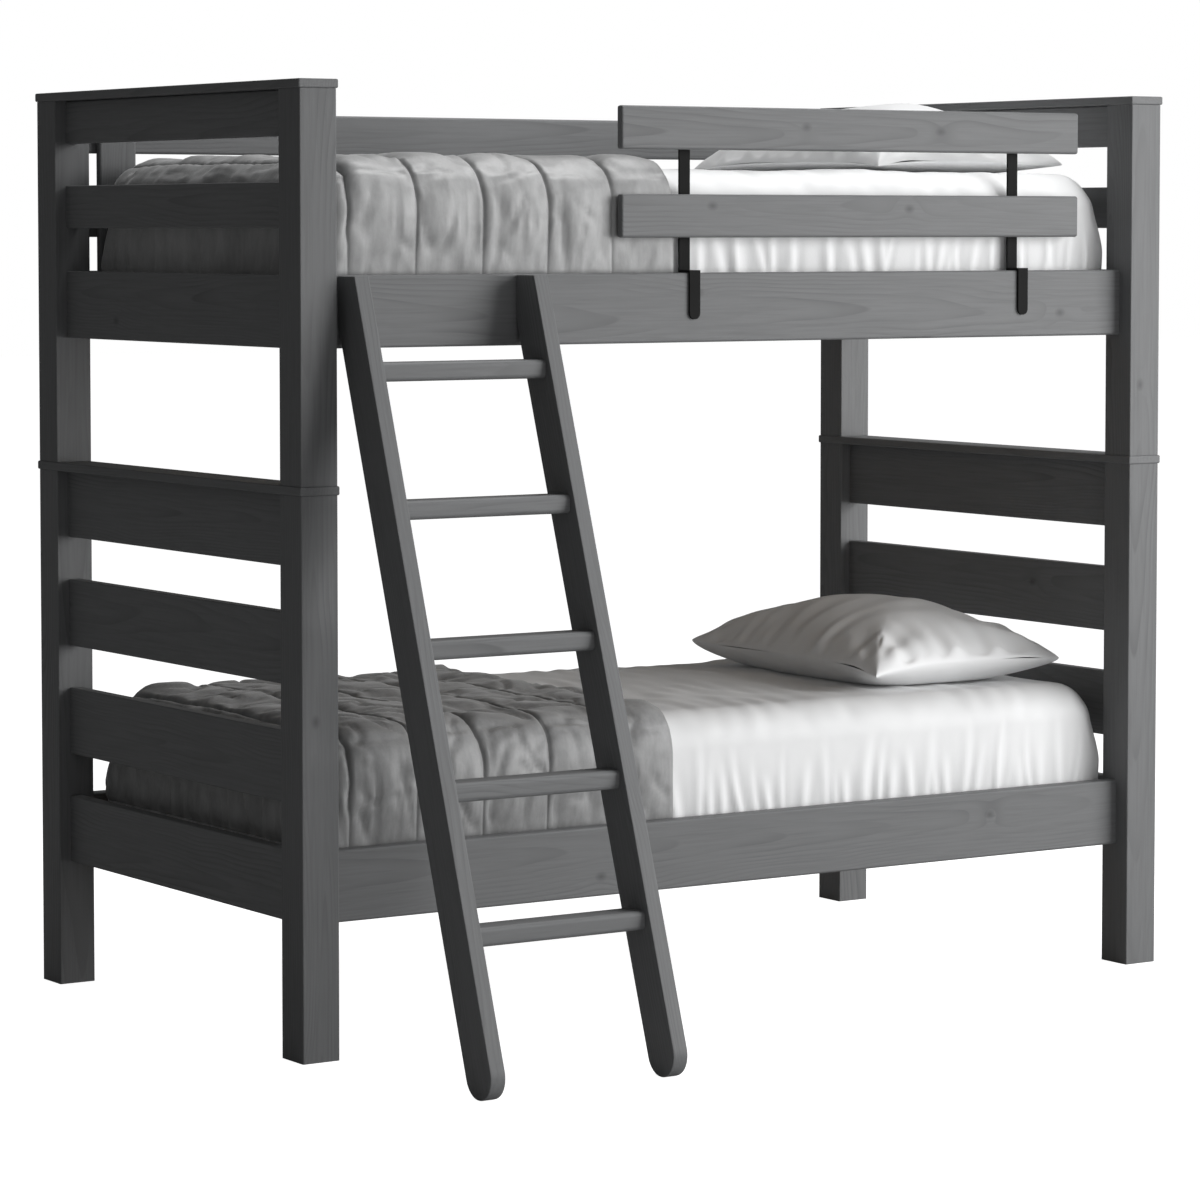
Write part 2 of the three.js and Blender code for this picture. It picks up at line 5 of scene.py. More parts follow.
import bmesh
import bpy
import numpy as np
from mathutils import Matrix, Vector


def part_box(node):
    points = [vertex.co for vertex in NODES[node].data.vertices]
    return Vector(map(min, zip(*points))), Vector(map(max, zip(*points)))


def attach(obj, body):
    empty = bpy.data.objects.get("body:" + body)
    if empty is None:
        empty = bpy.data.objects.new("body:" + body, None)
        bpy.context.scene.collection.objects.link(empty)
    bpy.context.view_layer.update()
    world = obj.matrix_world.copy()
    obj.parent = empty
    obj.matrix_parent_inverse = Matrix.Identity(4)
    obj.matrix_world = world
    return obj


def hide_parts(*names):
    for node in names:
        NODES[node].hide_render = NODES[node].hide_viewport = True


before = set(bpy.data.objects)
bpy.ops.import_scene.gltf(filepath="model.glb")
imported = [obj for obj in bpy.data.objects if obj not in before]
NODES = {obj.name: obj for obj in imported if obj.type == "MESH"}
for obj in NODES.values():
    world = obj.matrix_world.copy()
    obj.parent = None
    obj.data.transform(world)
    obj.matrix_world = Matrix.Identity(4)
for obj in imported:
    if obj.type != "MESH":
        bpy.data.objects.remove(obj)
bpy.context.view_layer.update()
BEDS = ("lower", "upper")


# ---- camera and lights -----------------------------------------------------------------------

CAMERA_PLACE = (-4.9444, -7.2824, 1.5677)
CAMERA_YAW = math.radians(-33.203)
CAMERA_TILT = math.radians(90 - 3.363)
CAMERA_LENS = 128.87
CAMERA_SHIFT = -0.10
CAMERA_REACH = 60  # metres

LIGHTS_AIM = (0, 0, 0.9)
LIGHTS = {  # place, size in metres, watts
    "key": ((5.2, -5.2, 2.4), 5.5, 580),
    "high": ((1.5, 0.2, 5.8), 2.6, 172),
    "fill": ((-0.8, -7.0, 1.2), 3.0, 45),
}
ROOM_LIGHT = 0.125  # how bright the room is to everything but the camera
WHITE = (1, 1, 1, 1)


def make_camera():
    camera = bpy.data.objects.new("camera", bpy.data.cameras.new("camera"))
    bpy.context.scene.collection.objects.link(camera)
    camera.location = CAMERA_PLACE
    camera.rotation_euler = (CAMERA_TILT, 0, CAMERA_YAW)
    camera.data.lens = CAMERA_LENS
    camera.data.shift_y = CAMERA_SHIFT
    camera.data.clip_end = CAMERA_REACH
    bpy.context.scene.camera = camera


def area_light(name, place, size, watts):
    light = bpy.data.lights.new(name, "AREA")
    light.energy = watts
    light.size = size
    lamp = bpy.data.objects.new(name, light)
    lamp.location = place
    direction = Vector(LIGHTS_AIM) - Vector(place)
    lamp.rotation_euler = direction.to_track_quat("-Z", "Y").to_euler()
    bpy.context.scene.collection.objects.link(lamp)


def make_studio():
    """Soft lights from the front right and above, little fill, and a white room that barely lights."""
    for name, (place, size, watts) in LIGHTS.items():
        area_light(name, place, size, watts)
    world = bpy.data.worlds.new("room")
    world.use_nodes = True
    nodes, links = world.node_tree.nodes, world.node_tree.links
    nodes.clear()
    seen, lit = nodes.new("ShaderNodeBackground"), nodes.new("ShaderNodeBackground")
    seen.inputs["Color"].default_value = WHITE
    lit.inputs["Color"].default_value = WHITE
    lit.inputs["Strength"].default_value = ROOM_LIGHT
    path, mix = nodes.new("ShaderNodeLightPath"), nodes.new("ShaderNodeMixShader")
    output = nodes.new("ShaderNodeOutputWorld")
    links.new(path.outputs["Is Camera Ray"], mix.inputs["Fac"])
    links.new(lit.outputs["Background"], mix.inputs[1])
    links.new(seen.outputs["Background"], mix.inputs[2])
    links.new(mix.outputs["Shader"], output.inputs["Surface"])
    bpy.context.scene.world = world
    bpy.context.scene.view_settings.view_transform = "Standard"


# ---- shader helper --------------------------------------------------------------------------


SHEEN_ROUGHNESS = 0.4


class Shader:
    """A node material, written a node at a time."""

    def __init__(self, name):
        self.material = bpy.data.materials.new(name)
        self.material.use_nodes = True
        self.tree = self.material.node_tree
        self.tree.nodes.clear()

    def node(self, kind, inputs=None, **settings):
        made = self.tree.nodes.new("ShaderNode" + kind)
        for key, value in settings.items():
            setattr(made, key, value)
        for key, value in (inputs or {}).items():
            self.feed(made.inputs[key], value)
        return made

    def feed(self, socket, value):
        if isinstance(value, bpy.types.NodeSocket):
            self.tree.links.new(value, socket)
        else:
            socket.default_value = value

    def math(self, operation, a, b=0.0, c=0.0):
        return self.node("Math", {0: a, 1: b, 2: c}, operation=operation).outputs[0]

    def vector(self, operation, a, b=(0, 0, 0)):
        return self.node("VectorMath", {0: a, 1: b}, operation=operation).outputs[0]

    def place(self):
        return self.node("TexCoord").outputs["Object"]

    def noise(self, vector, scale, detail=2.0, roughness=0.5):
        inputs = {"Vector": vector, "Scale": scale, "Detail": detail, "Roughness": roughness}
        return self.node("TexNoise", inputs).outputs["Fac"]

    def ramp(self, factor, low, high):
        """0 below low, 1 above high, straight between."""
        inputs = {"Value": factor, "From Min": low, "From Max": high}
        return self.node("MapRange", inputs, clamp=True).outputs["Result"]

    def blend(self, factor, first, second):
        return self.node("MixRGB", {"Fac": factor, "Color1": first, "Color2": second}).outputs[0]

    def bump(self, height, distance, strength=1.0, normal=None):
        inputs = {"Height": height, "Distance": distance, "Strength": strength}
        if normal is not None:
            inputs["Normal"] = normal
        return self.node("Bump", inputs).outputs["Normal"]

    def surface(self, color, roughness, normal=None, metallic=0.0, sheen=0.0, specular=0.5):
        inputs = {"Base Color": color, "Roughness": roughness, "Metallic": metallic}
        if normal is not None:
            inputs["Normal"] = normal
        shader = self.node("BsdfPrincipled", inputs)
        if sheen:
            shader.inputs["Sheen Weight"].default_value = sheen
            shader.inputs["Sheen Roughness"].default_value = SHEEN_ROUGHNESS
        shader.inputs["Specular IOR Level"].default_value = specular
        output = self.node("OutputMaterial")
        self.tree.links.new(shader.outputs["BSDF"], output.inputs["Surface"])
        return self.material


def grey(value, warmth=0.0):
    """A grey, warmer than neutral above 0 and cooler below."""
    return (value * (1 + warmth), value, value * (1 - warmth), 1)


# ---- floor ------------------------------------------------------------------------------------

FLOOR_HALF = 40.0
FLOOR_GLOW = 0.97  # only the camera sees it, so that the floor stays as white as the room
FLOOR_TONE = grey(0.5)


def make_floor():
    """A plain white floor under the posts and the ladder."""
    corners = [(x * FLOOR_HALF, y * FLOOR_HALF, 0) for x, y in ((-1, -1), (1, -1), (1, 1), (-1, 1))]
    mesh = bpy.data.meshes.new("floor")
    mesh.from_pydata(corners, [], [(0, 1, 2, 3)])
    floor = bpy.data.objects.new("floor", mesh)
    bpy.context.scene.collection.objects.link(floor)
    paint = Shader("pale_floor")
    pale = paint.node("BsdfDiffuse", {"Color": FLOOR_TONE}).outputs["BSDF"]
    seen = paint.node("LightPath").outputs["Is Camera Ray"]
    strength = paint.math("MULTIPLY", seen, FLOOR_GLOW)
    glow = paint.node("Emission", {"Strength": strength}).outputs["Emission"]
    both = paint.node("AddShader", {0: pale, 1: glow}).outputs["Shader"]
    paint.node("OutputMaterial", {"Surface": both})
    mesh.materials.append(paint.material)


# ---- wood -------------------------------------------------------------------------------------

LADDER_LEAN = math.atan(0.3364)
GRAIN_TURN = {  # lays the grain of a board along the shader's X
    "x": (0, 0, 0),
    "y": (0, 0, -math.pi / 2),
    "z": (0, math.pi / 2, 0),
    "ladder": (LADDER_LEAN, math.pi / 2, 0),
}
STAIN = {"early": grey(0.172, -0.02), "late": grey(0.125, -0.02), "knot": grey(0.055, -0.02)}
BARE = {"early": (0.66, 0.47, 0.27, 1), "late": (0.50, 0.32, 0.16, 1), "knot": (0.20, 0.10, 0.04, 1)}
RING_WIDTH = 0.0055
RING_DRIFT = 0.085  # how far the rings wander across the face
TAPER = 0.02  # how fast the log narrows, so that rings run out in long arches
BOARD_TONE = (0.93, 1.03)  # from board to board
PATCH_TONE = 0.10  # within one board
POST_TONE = 0.97
FIBRE_SCALE = (6, 190, 190)
PATCH_SCALE = (3.5, 16, 16)
STREAK_SHARE = 0.55
GRAIN_DEPTH = 0.0003
WOOD_ROUGHNESS = (0.47, 0.61)


def wood(name, node, axis, palette, seed, knots=()):
    """Flat-sawn pine on one board: rings about a pith behind the face, drawn out along the grain.

    knots are places on the board: metres along the grain and across the face from its middle."""
    rng = np.random.default_rng(seed)
    paint = Shader(name)
    turned = board_place(paint, node, axis)
    shifted = paint.vector("ADD", turned, tuple(rng.uniform(-50, 50, 3)))
    radius, core = paint_rings(paint, turned, shifted, knots, rng)
    ring = paint.math("FRACT", paint.math("DIVIDE", radius, RING_WIDTH * rng.uniform(0.8, 1.3)))
    late = paint.math("MULTIPLY", paint.ramp(ring, 0.4, 0.92), paint.ramp(ring, 1.0, 0.94))
    fibre = paint.noise(paint.vector("MULTIPLY", shifted, FIBRE_SCALE), 1.0, 3.0, 0.65)
    patch = paint.noise(paint.vector("MULTIPLY", shifted, PATCH_SCALE), 1.0, 3.0, 0.6)
    figure = paint.math("MULTIPLY", late, paint.ramp(patch, 0.32, 0.68))
    board_tone = rng.uniform(*BOARD_TONE) * (POST_TONE if "post" in node else 1.0)
    tone = paint.math("MULTIPLY_ADD", patch, PATCH_TONE, board_tone - PATCH_TONE / 2)
    color = wood_color(paint, figure, fibre, core, palette, tone)
    relief = paint.math("ADD", paint.math("MULTIPLY", figure, 0.5), fibre)
    normal = paint.bump(relief, GRAIN_DEPTH, 0.4)
    smoothest, roughest = WOOD_ROUGHNESS
    rough = paint.math("MULTIPLY_ADD", fibre, roughest - smoothest, smoothest)
    return paint.surface(color, rough, normal, specular=0.35)


def board_place(paint, node, axis):
    """Where a point lies on its board, from the middle: along the grain, in depth, across."""
    low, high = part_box(node)
    local = paint.vector("SUBTRACT", paint.place(), tuple((low + high) / 2))
    return paint.node("Mapping", {"Vector": local, "Rotation": GRAIN_TURN[axis]}).outputs[0]


def wood_color(paint, figure, fibre, core, palette, tone):
    """Early wood, darkened along late rings and in short streaks, with the knots on top."""
    streak = paint.math("MULTIPLY", paint.ramp(fibre, 0.42, 0.72), STREAK_SHARE)
    color = paint.blend(paint.math("MAXIMUM", figure, streak), palette["early"], palette["late"])
    if core is not None:
        color = paint.blend(core, color, palette["knot"])
    return paint.node("VectorMath", {"Vector": color, "Scale": tone}, operation="SCALE").outputs[0]


def paint_rings(paint, turned, shifted, knots, rng):
    """How far out in the log a point lies, and how dark a knot is there."""
    along, depth, across = paint.node("SeparateXYZ", {"Vector": turned}).outputs
    slow = paint.vector("MULTIPLY", shifted, (1.6, 6, 6))
    drift = paint.math("MULTIPLY", paint.noise(slow, 1.0, 2.0), RING_DRIFT)
    radius = pith_distance(paint, along, depth, paint.math("ADD", across, drift), rng)
    core = None
    for reach, offset in knots:
        radius, core = paint_knot(paint, along, across, reach, offset, radius, core)
    return radius, core


def pith_distance(paint, along, depth, across, rng):
    """Distance from the pith, which lies behind the face, less the log's taper along the board."""
    pith_depth = rng.choice([-1, 1]) * rng.uniform(0.035, 0.07)
    pith_across = rng.uniform(-0.03, 0.03) + 0.045
    squares = squared_distance(paint, paint.math("SUBTRACT", across, pith_across),
                               paint.math("SUBTRACT", depth, pith_depth))
    lean = paint.math("MULTIPLY", along, TAPER * rng.choice([-1, 1]))
    return paint.math("ADD", paint.math("SQRT", squares), lean)


def squared_distance(paint, x, y):
    return paint.math("ADD", paint.math("MULTIPLY", x, x), paint.math("MULTIPLY", y, y))


KNOT_RADIUS = 0.007
KNOT_STRETCH = 0.7  # a knot is longer along the grain than across it
KNOT_SWIRL = 0.03  # how far from it the rings swerve
KNOT_PUSH = 0.006  # how far they are pushed aside
KNOT_SHADE = 0.6


def paint_knot(paint, along, across, reach, offset, radius, core):
    """Rings swerve round a dark knot."""
    x = paint.math("MULTIPLY", paint.math("SUBTRACT", along, reach), KNOT_STRETCH)
    squares = squared_distance(paint, x, paint.math("SUBTRACT", across, offset))
    distance = paint.math("SQRT", squares)
    swirl = paint.math("POWER", math.e, paint.math("DIVIDE", squares, -KNOT_SWIRL ** 2))
    radius = paint.math("ADD", radius, paint.math("MULTIPLY", swirl, KNOT_PUSH))
    inside = paint.ramp(distance, KNOT_RADIUS * 1.6, KNOT_RADIUS * 0.2)
    dark = paint.math("MULTIPLY", inside, KNOT_SHADE)
    return radius, dark if core is None else paint.math("MAXIMUM", core, dark)


# ---- other materials ---------------------------------------------------------------------------


def black_steel():
    """Flat black powder coat."""
    paint = Shader("black_steel")
    grain = paint.noise(paint.place(), 900.0, 2.0)
    cloud = paint.noise(paint.place(), 25.0, 2.0)
    color = paint.blend(cloud, grey(0.007), grey(0.011))
    rough = paint.math("MULTIPLY_ADD", grain, 0.15, 0.6)
    return paint.surface(color, rough, paint.bump(grain, 0.0002, 0.5), specular=0.12)


def zinc_steel():
    """Dull plated fasteners."""
    paint = Shader("zinc_steel")
    cloud = paint.noise(paint.place(), 120.0, 3.0)
    color = paint.blend(cloud, grey(0.45), grey(0.65))
    return paint.surface(color, 0.35, paint.bump(cloud, 0.0001, 0.4), metallic=1.0)


def weave_bump(paint, scale, distance, strength, normal=None):
    """Crossed threads, finer than the folds."""
    warp = paint.noise(paint.vector("MULTIPLY", paint.place(), (1, 6, 1)), scale, 1.0)
    weft = paint.noise(paint.vector("MULTIPLY", paint.place(), (6, 1, 6)), scale, 1.0)
    return paint.bump(paint.math("ADD", warp, weft), distance, strength, normal)


def cotton_sheet():
    """White cotton, matt."""
    paint = Shader("cotton_sheet")
    cloud = paint.noise(paint.place(), 7.0, 3.0)
    color = paint.blend(cloud, grey(0.78, -0.006), grey(0.86, -0.004))
    return paint.surface(color, 0.6, weave_bump(paint, 260.0, 0.0003, 0.35), sheen=0.15)


def pillow_satin():
    """White cloth, finer and a little shinier than the sheet."""
    paint = Shader("pillow_satin")
    cloud = paint.noise(paint.place(), 9.0, 3.0)
    color = paint.blend(cloud, grey(0.80, -0.006), grey(0.87, -0.004))
    return paint.surface(color, 0.48, weave_bump(paint, 320.0, 0.0002, 0.3), sheen=0.1)


def quilt_cloth(name, low, high):
    """A brushed, slightly shiny cloth whose nap lies darker in patches."""
    paint = Shader(name)
    nap = paint.noise(paint.place(), 9.0, 5.0, 0.62)
    brushed = paint.noise(paint.vector("MULTIPLY", paint.place(), (26, 26, 9)), 1.0, 4.0, 0.6)
    mix = paint.math("MULTIPLY", paint.math("ADD", nap, brushed), 0.5)
    color = paint.blend(paint.ramp(mix, 0.36, 0.64), grey(low, -0.005), grey(high, -0.005))
    creased = paint.noise(paint.vector("MULTIPLY", paint.place(), (24, 24, 9)), 1.0, 3.0, 0.5)
    crumple = paint.bump(creased, 0.006, 0.3)
    weave = weave_bump(paint, 300.0, 0.00025, 0.35, crumple)
    return paint.surface(color, 0.46, weave, sheen=0.3, specular=0.45)


# ---- carried-over CAD nodes ---------------------------------------------------------------------


WELD_DISTANCE = 0.00002
SHARP_ANGLE = math.radians(40)


def soften(node):
    """Shades the eased edges smoothly and keeps the flat faces flat."""
    item = NODES[node]
    item.data.polygons.foreach_set("use_smooth", [True] * len(item.data.polygons))
    weld = item.modifiers.new("weld", "WELD")
    weld.merge_threshold = WELD_DISTANCE
    split = item.modifiers.new("split", "EDGE_SPLIT")
    split.split_angle = SHARP_ANGLE
    flat = item.modifiers.new("flat", "WEIGHTED_NORMAL")
    flat.mode = "FACE_AREA"
    flat.weight = 100


def set_material(node, material):
    data = NODES[node].data
    data.materials.clear()
    data.materials.append(material)


# Knots that show, by board: metres along the grain and across the face, from the board's middle.
KNOTS = {
    "lower_rail_front": [(0.62, 0.02), (-0.35, -0.03)],
    "upper_rail_front": [(-0.12, 0.03), (0.80, -0.02)],
    "guard_board_2": [(0.21, 0.0), (-0.13, 0.005)],
    "guard_board_1": [(0.13, 0.015), (-0.36, 0.02)],
    "rear_guard_board_2": [(-0.64, 0.02)],
    "lower_post_front_foot": [(0.11, 0.01)],
    "upper_post_front_head": [(-0.22, 0.012)],
    "lower_head_board_3": [(-0.2, 0.02)],
    "upper_foot_board_1": [(0.25, -0.03)],
}


def grain_axis(node):
    """The way the grain runs, from the board's name."""
    if "stringer" in node:
        return "ladder"
    if "post" in node or "upright" in node:
        return "z"
    if "rail" in node or "rung" in node or "guard_board" in node:
        return "x"
    return "y"


def dress_frame():
    """Gives each hard CAD node its material."""
    zinc, steel = MATERIALS["zinc"], black_steel()
    for seed, node in enumerate(sorted(NODES)):
        if "pin" in node or "bolt" in node:
            set_material(node, zinc)
        elif "bracket" in node:
            set_material(node, steel)
        elif any(word in node for word in ("mattress", "comforter", "pillow")):
            continue
        else:
            palette = BARE if "slat" in node else STAIN
            material = wood("wood_" + node, node, grain_axis(node), palette, seed, KNOTS.get(node, ()))
            set_material(node, material)
        soften(node)


# ---- mesh helpers ---------------------------------------------------------------------------------


class Ripples:
    """A smooth random field from -1 to 1 or so: many waves of about one length, run together."""

    def __init__(self, seed, wavelength, stretch=(1, 1, 1), count=28):
        rng = np.random.default_rng(seed)
        direction = rng.normal(size=(count, 3))
        direction /= np.linalg.norm(direction, axis=1)[:, None]
        number = 2 * np.pi / (wavelength * rng.uniform(0.7, 1.5, count))
        self.waves = direction * number[:, None] / np.array(stretch)
        self.phase = rng.uniform(0, 2 * np.pi, count)

    def __call__(self, points):
        return np.cos(points @ self.waves.T + self.phase).sum(1) / math.sqrt(len(self.phase))


def smooth(value, low, high):
    """0 at low, 1 at high, eased between; it also runs down when high is the smaller."""
    t = np.clip((value - low) / (high - low), 0, 1)
    return t * t * (3 - 2 * t)


def box_surface(xs, ys, zs, sides):
    """Points and quads on the named sides of a box lattice: foot, head, front, rear, bottom, top."""
    shape = (len(xs), len(ys), len(zs))
    cuts = {
        "foot": (0, 0, True), "head": (0, -1, False), "front": (1, 0, False),
        "rear": (1, -1, True), "bottom": (2, 0, True), "top": (2, -1, False),
    }
    used = np.zeros(shape, bool)
    for side in sides:
        axis, place, _ = cuts[side]
        np.moveaxis(used, axis, 0)[place] = True
    index = np.full(shape, -1)
    index[used] = np.arange(used.sum())
    grid = np.stack(np.meshgrid(xs, ys, zs, indexing="ij"), -1)
    quads = []
    for side in sides:
        axis, place, turned = cuts[side]
        face = np.moveaxis(index, axis, 0)[place]
        quad = np.stack([face[:-1, :-1], face[1:, :-1], face[1:, 1:], face[:-1, 1:]], -1).reshape(-1, 4)
        quads.append(quad[:, ::-1] if turned else quad)
    return grid[used], np.concatenate(quads)


def round_box(points, low, high, crown, corner, foot):
    """Rounds a box lattice: a wide crown round the top, tighter upright corners and foot.

    Returns the rounded points and their outward normals."""
    reach = np.empty(points.shape)
    near_top = smooth(points[:, 2], high[2] - 2.3 * crown, high[2] - 0.8 * crown)
    reach[:, :2] = (corner + (crown - corner) * near_top)[:, None]
    reach[:, 2] = np.where(points[:, 2] < (low[2] + high[2]) / 2, foot, crown)
    core = np.clip(points, low + reach, high - reach)
    normal = (points - core) / reach
    normal /= np.linalg.norm(normal, axis=1)[:, None]
    return core + normal * reach, normal


def spaced(low, high, step):
    """Even stations from low to high, about a step apart."""
    return np.linspace(low, high, max(2, round((high - low) / step) + 1))


def new_piece(name, points, faces, material, body):
    """A smooth-shaded mesh that rides one body."""
    mesh = bpy.data.meshes.new(name)
    mesh.from_pydata([tuple(p) for p in points], [], [tuple(int(i) for i in f) for f in faces])
    mesh.update()
    mesh.polygons.foreach_set("use_smooth", [True] * len(mesh.polygons))
    mesh.materials.append(material)
    piece = bpy.data.objects.new(name, mesh)
    bpy.context.scene.collection.objects.link(piece)
    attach(piece, body)
    return piece


def thicken(outer, inner, faces):
    """Closes a patch into a shell: the outer skin, the inner skin turned round, and a rim."""
    count = len(outer)
    edges = np.concatenate([faces[:, [0, 1]], faces[:, [1, 2]], faces[:, [2, 3]], faces[:, [3, 0]]])
    keys = {(a, b) for a, b in edges.tolist()}
    rim = [(b, a, a + count, b + count) for a, b in keys if (b, a) not in keys]
    skin = faces.tolist() + (faces[:, ::-1] + count).tolist() + sorted(rim)
    return np.concatenate([outer, inner]), skin


# ---- mattress with its fitted sheet ------------------------------------------------------------------

MATTRESS_ROUNDS = {"crown": 0.075, "corner": 0.024, "foot": 0.022}
MATTRESS_STEP = 0.0065
MATTRESS_INSET = (0.002, 0.005, 0)  # leaves room for the folds
SHEET_FOLDS = 50
FOLD_WIDTH = (0.005, 0.012)
FOLD_DEPTH = 0.0052
FOLD_LEAN = 0.30  # how fast the gathers' lean changes along the side
FOLD_UPRIGHT = 0.70  # the share of the length at which they stand straight
CORNER_GATHER = 0.004
HEAD_BULGE = 0.006  # how far the head end swells at mid height


def sheet_folds(along, height, length, seed):
    """Upright gathers of the sheet's side, deeper towards its elastic edge, leaning at the ends."""
    rng = np.random.default_rng(seed)
    relief = np.zeros_like(along)
    places = np.linspace(0.02, 0.98, SHEET_FOLDS) * length + rng.normal(0, 0.012, SHEET_FOLDS)
    for place in places:
        width = rng.uniform(*FOLD_WIDTH)
        lean = FOLD_LEAN * (FOLD_UPRIGHT - place / length) + rng.normal(0, 0.07)
        start = rng.uniform(0.5, 1.0)
        bend = 0.006 * np.sin(height * rng.uniform(12, 22) + rng.uniform(0, 6))
        offset = (along - place + lean * (height - 0.05) - bend) / (width * (1 + 3 * height))
        grow = smooth(height, start * 0.25, 0.05)
        shape = np.exp(-offset ** 2) - 0.7 * np.exp(-(offset - 1.5) ** 2)
        relief += rng.uniform(0.35, 1.0) * grow * shape
    return relief


def sheet_relief(skin, normal, low, size, seed):
    """How far the sheet stands off the mattress: gathers on the sides, soft ripples on top."""
    height = skin[:, 2] - low[2]
    side = np.abs(normal[:, 1]) > np.abs(normal[:, 0])
    folds = np.where(side, sheet_folds(skin[:, 0] - low[0], height, size[0], seed),
                     sheet_folds(2 * (skin[:, 1] - low[1]), height, 2 * size[1], seed + 1))
    diagonal = np.abs(normal[:, 0] * normal[:, 1])
    upright = smooth(1 - np.abs(normal[:, 2]), 0.3, 1.0) * (1 - smooth(diagonal, 0.0, 0.3))
    top = smooth(normal[:, 2], -0.2, 0.8)
    relief = FOLD_DEPTH * folds * upright
    relief += 0.0013 * Ripples(seed, 0.08, (0.7, 2.2, 1))(skin) * top
    relief += 0.0028 * Ripples(seed + 3, 0.45)(skin) * top
    relief += CORNER_GATHER * smooth(diagonal, 0.1, 0.5) * (1 - smooth(normal[:, 2], 0.0, 0.6))
    swell = np.sin(np.pi * np.clip(height / size[2], 0, 1))
    return relief + HEAD_BULGE * swell * smooth(normal[:, 0], 0.3, 1.0)


def make_mattress(bed):
    """A padded block in its fitted sheet, in place of the CAD one."""
    node = f"{bed}_mattress"
    low, high = (np.array(corner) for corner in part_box(node))
    xs = spaced(low[0], high[0], MATTRESS_STEP)
    ys = spaced(low[1], high[1], MATTRESS_STEP * 1.6)
    zs = spaced(low[2], high[2], MATTRESS_STEP)
    points, faces = box_surface(xs, ys, zs, ("foot", "head", "front", "rear", "bottom", "top"))
    inset = np.array(MATTRESS_INSET)
    flat = np.clip(points, low + inset, high - inset)
    skin, normal = round_box(flat, low + inset, high - inset, **MATTRESS_ROUNDS)
    relief = sheet_relief(skin, normal, low, high - low, 11 + 4 * BEDS.index(bed))
    skin = skin + normal * relief[:, None]
    piece = new_piece(f"{bed}_mattress_in_sheet", skin, faces, MATERIALS["sheet"],
                      f"{bed}_mattress_body")
    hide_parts(node)


# ---- comforter ---------------------------------------------------------------------------------------

CHANNEL = 0.1492  # from seam to seam
CHANNELS = 9
QUILT_STEP = 0.008
SEAM_STEPS = (0.001, 0.0025, 0.0045, 0.007, 0.01, 0.014)  # stations to either side of a seam
SEAM_CLEARANCE = 0.019
SEAM_CREASE = 0.0045
QUILT_GAP = 0.0012
SIDE_PUFF = 0.0078
FREE_PUFF = 0.019  # on the front, where it stands clear of the rail and the guard
TOP_PUFF = 0.026
HEM_ROUND = 0.016
FOOT_ROUND = 0.012
QUILT_ROUNDS = {"crown": 0.088, "corner": 0.03, "foot": 0.022}
RUMPLE = {"lower": 1.7, "upper": 1.15}
GUARD_MARGIN = 0.01
VALLEY_WIDTH = 0.24  # as a share of a ripple's height
# Ripples and valleys in the filling: depth, wavelength, stretch, and their own step of the seed.
HANGING_RIPPLE = (0.12, 0.055, (1, 1, 4.5), 2)
HANGING_VALLEYS = ((0.32, 0.07, (1, 1, 3.0), 3), (0.20, 0.10, (1, 1, 1.5), 6))
LYING_RIPPLE = (0.12, 0.13, (1.6, 1, 1), 4)
LYING_VALLEYS = ((0.15, 0.14, (1, 1, 1), 5), (0.14, 0.16, (2.2, 1, 1), 7))


def seam_distance(run, hem):
    """How far a place is from the nearest channel seam; the hem is the last seam."""
    channels = (hem - run) / CHANNEL
    return np.abs(channels - np.round(channels)) * CHANNEL


def with_seams(places, hem):
    """Adds close stations beside each seam, so that its crease is crisp."""
    seams = hem - CHANNEL * np.arange(CHANNELS)
    beside = np.array(SEAM_STEPS)
    close = (seams[:, None] + np.concatenate([-beside, beside])).ravel()
    close = close[(close > places.min() + 0.001) & (close < places.max() - 0.0005)]
    clear = [p for p in places[1:-1] if np.abs(seams - p).min() > SEAM_CLEARANCE]
    return np.unique(np.round(np.concatenate([places[[0, -1]], clear, close]), 5))


def quilt_puff(flat, normal, rail_top, free_end):
    """Room for filling: little behind the rail and boards, more on the free side, most on top."""
    up = smooth(normal[:, 2], -0.05, 0.95)
    free = smooth(flat[:, 2], rail_top - 0.005, rail_top + 0.10)
    free *= smooth(-normal[:, 1], 0.0, 0.5) * (1 - smooth(flat[:, 0], free_end - 0.07, free_end))
    side = SIDE_PUFF + (FREE_PUFF - SIDE_PUFF) * free
    return side + (TOP_PUFF - side) * up, up


def quilt_folds(flat, seed, ripple, valleys):
    """A ripple field cut by narrow valleys, which run where other fields cross zero."""
    depth, wavelength, stretch, step = ripple
    relief = depth * Ripples(seed + step, wavelength, stretch)(flat)
    for depth, wavelength, stretch, step in valleys:
        field = Ripples(seed + step, wavelength, stretch)(flat)
        relief -= depth * np.exp(-(field / VALLEY_WIDTH) ** 2)
    return relief


